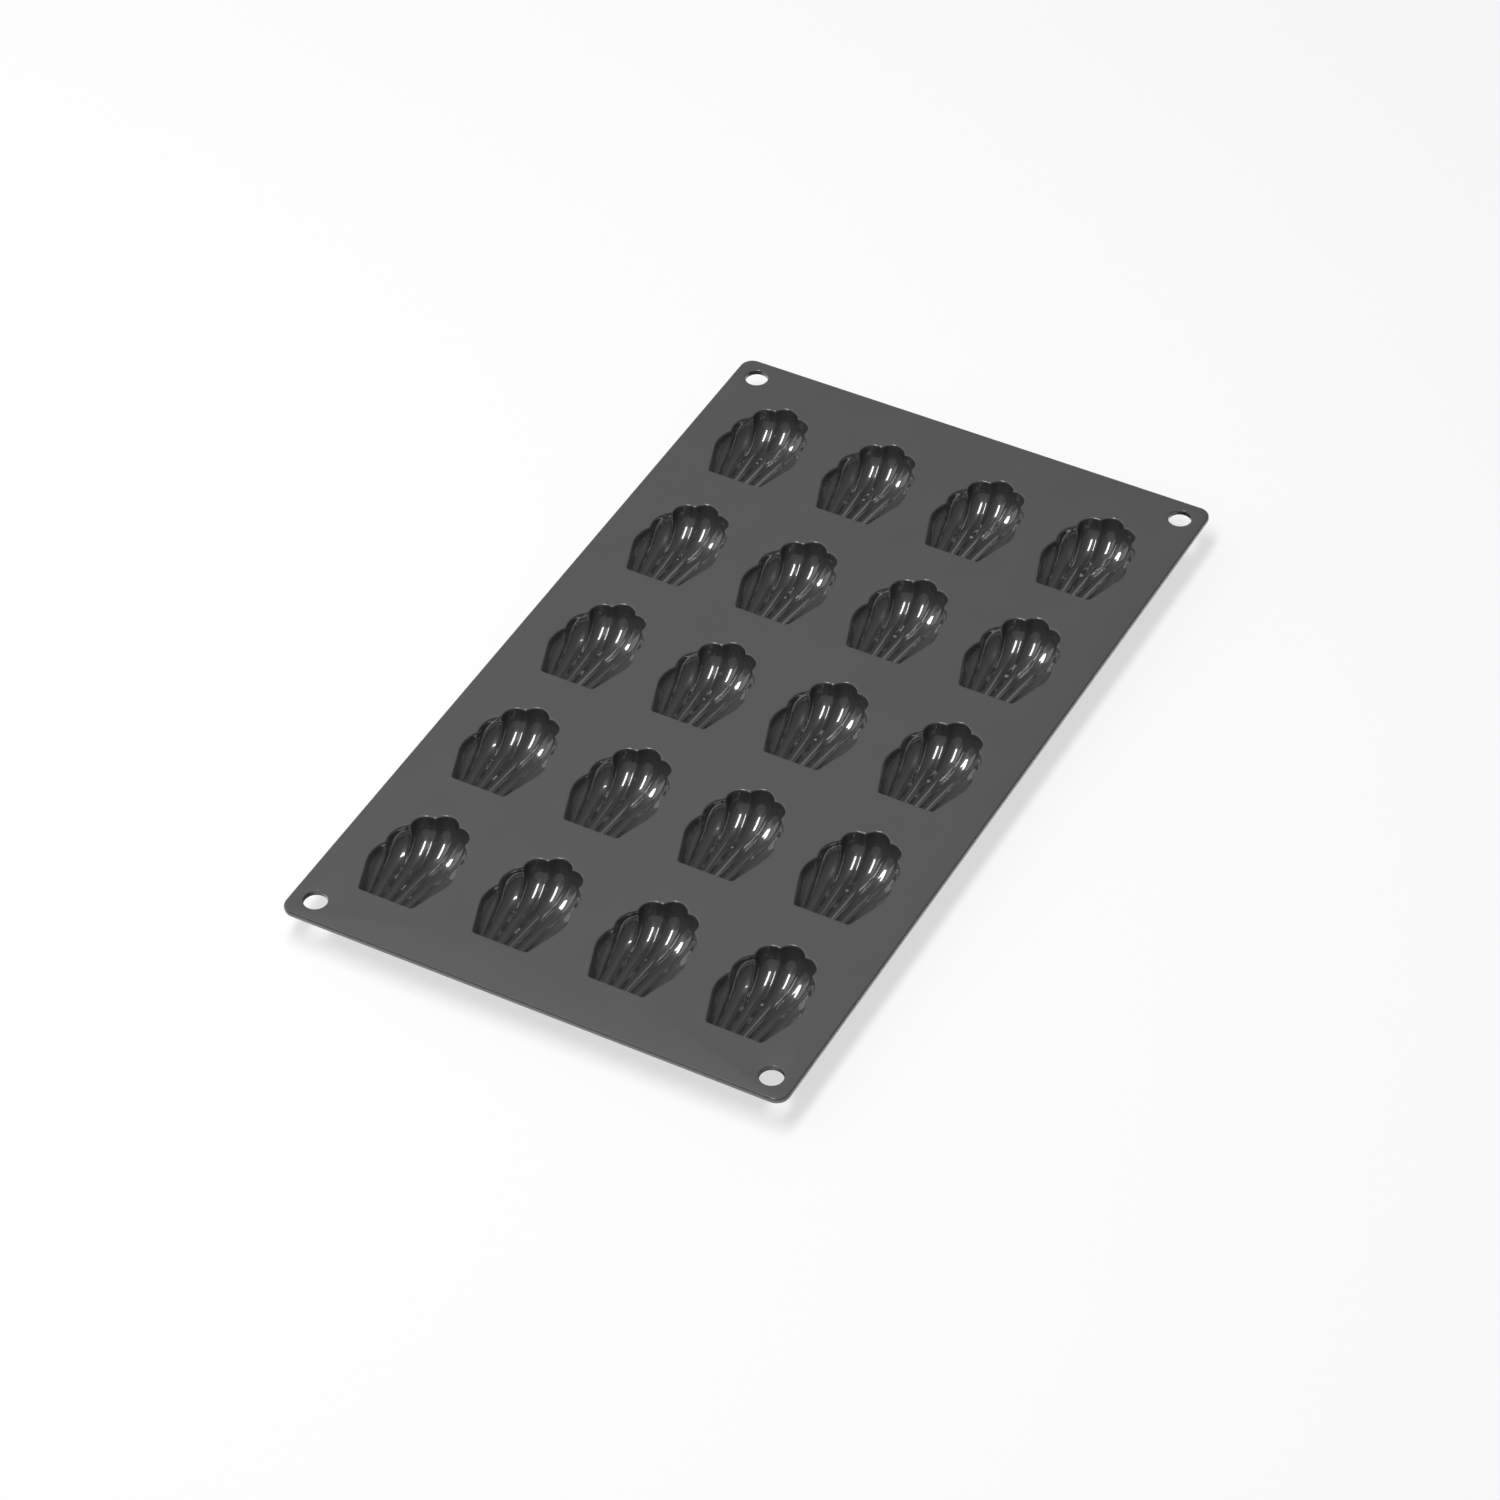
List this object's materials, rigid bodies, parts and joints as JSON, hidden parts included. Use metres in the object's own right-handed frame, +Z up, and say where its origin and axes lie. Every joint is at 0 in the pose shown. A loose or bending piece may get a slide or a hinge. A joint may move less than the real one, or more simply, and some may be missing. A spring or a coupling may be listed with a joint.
{
  "type": "madeleine pan",
  "caption": "Flexible moulded baking sheet with rows of fluted shell-shaped cups and a hanging hole in each corner.",
  "frame": {"origin": "middle of the sheet, on the surface that the cups stand on", "axes": "+Z up out of the cups' mouths, +Y along the long side towards the fan ends of the cups, +X along the short side"},
  "size_m": [0.175, 0.3, 0.0124],
  "materials": {
    "sheet": "matte dark grey silicone",
    "cups": "glossy dark grey silicone"
  },
  "bodies": {
    "root": {"deck": "sheet", "cup_r1c1": "cups", "cup_r1c2": "cups", "cup_r1c3": "cups", "cup_r1c4": "cups", "cup_r2c1": "cups", "cup_r2c2": "cups", "cup_r2c3": "cups", "cup_r2c4": "cups", "cup_r3c1": "cups", "cup_r3c2": "cups", "cup_r3c3": "cups", "cup_r3c4": "cups", "cup_r4c1": "cups", "cup_r4c2": "cups", "cup_r4c3": "cups", "cup_r4c4": "cups", "cup_r5c1": "cups", "cup_r5c2": "cups", "cup_r5c3": "cups", "cup_r5c4": "cups"}
  },
  "joints": []
}
